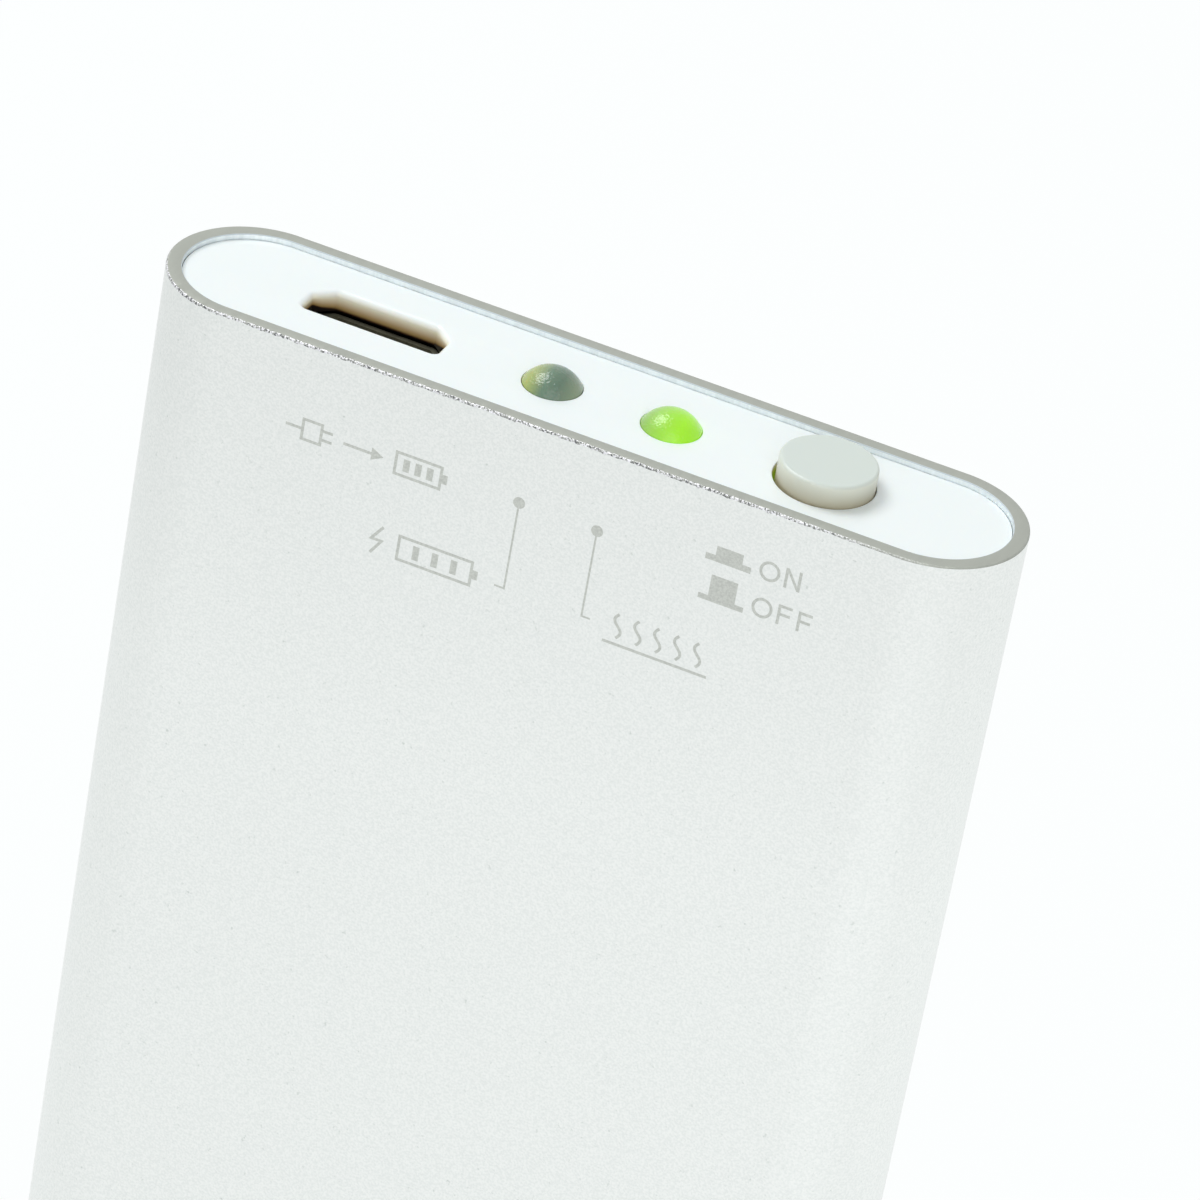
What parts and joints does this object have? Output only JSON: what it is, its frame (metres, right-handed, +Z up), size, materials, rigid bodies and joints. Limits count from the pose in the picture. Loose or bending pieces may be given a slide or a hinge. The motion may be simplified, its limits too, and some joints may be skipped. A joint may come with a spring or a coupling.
{
  "type": "rechargeable hand warmer",
  "caption": "Slim pocket hand warmer: a flat oval aluminium tube whose white moulded end carries a charging socket, indicator lamps and a push-push power button.",
  "frame": {"origin": "centre of the tube's bottom end, on the plane of its bottom rim", "axes": "+Z up the tube to the control end, +X across the width to the button side, -Y the printed front face and +Y the back"},
  "size_m": [0.045, 0.0094, 0.0959],
  "materials": {
    "anodised_aluminium": "fine bead-blasted, clear anodised, satin",
    "white_plastic": "glossy white moulding",
    "grey_plastic": "light warm grey moulding, half gloss",
    "lamp_unlit": "green-tinted clear resin, unlit",
    "lamp_lit": "green resin, lit yellow-green",
    "tray_plastic": "black moulding, fine grain",
    "black_plastic": "black moulding",
    "switch_white": "natural white acetal",
    "board_laminate": "green solder mask on glass laminate",
    "spring_steel": "bright steel",
    "tinned_metal": "tin plated",
    "gilt_contacts": "gold flashed",
    "pouch_foil": "foil laminate pouch",
    "heater_film": "amber heater film",
    "insulating_felt": "thin needled felt",
    "foam": "closed-cell foam",
    "wire_red": "red insulation",
    "wire_black": "black insulation",
    "wire_white": "white insulation",
    "chip_ceramic": "tan ceramic",
    "sensor_resin": "black resin bead"
  },
  "bodies": {
    "body": {"shell": "anodised_aluminium", "top_cap": "white_plastic", "bottom_cap": "white_plastic", "tray": "tray_plastic", "switch_housing": "black_plastic", "switch_base": "black_plastic", "switch_spring": "spring_steel", "switch_terminals": "tinned_metal", "main_board": "board_laminate", "board_screws": "spring_steel", "board_chips": "black_plastic", "chip_legs": "tinned_metal", "board_ceramics": "chip_ceramic", "jack_shell": "tinned_metal", "jack_tongue": "black_plastic", "jack_contacts": "gilt_contacts", "charging_led": "lamp_unlit", "warming_led": "lamp_lit", "charging_led_legs": "tinned_metal", "warming_led_legs": "tinned_metal", "battery_cell": "pouch_foil", "battery_tabs": "tinned_metal", "protection_board": "board_laminate", "protection_chips": "black_plastic", "battery_lead_red": "wire_red", "battery_lead_black": "wire_black", "front_heater": "heater_film", "rear_heater": "heater_film", "front_heater_leads": "wire_white", "rear_heater_leads": "wire_white", "front_insulator": "insulating_felt", "rear_insulator": "insulating_felt", "thermistor": "sensor_resin", "thermistor_leads": "wire_white", "foam_pad": "foam"},
    "button": {"power_button": "grey_plastic", "switch_plunger": "switch_white"}
  },
  "joints": [
    {"name": "button_press", "type": "slide", "parent": "body", "child": "button", "axis": [0, 0, 1], "range_m": [-0.0005, 0.0015], "stiffness_N_per_m": 300, "deforming": ["switch_spring"]}
  ]
}
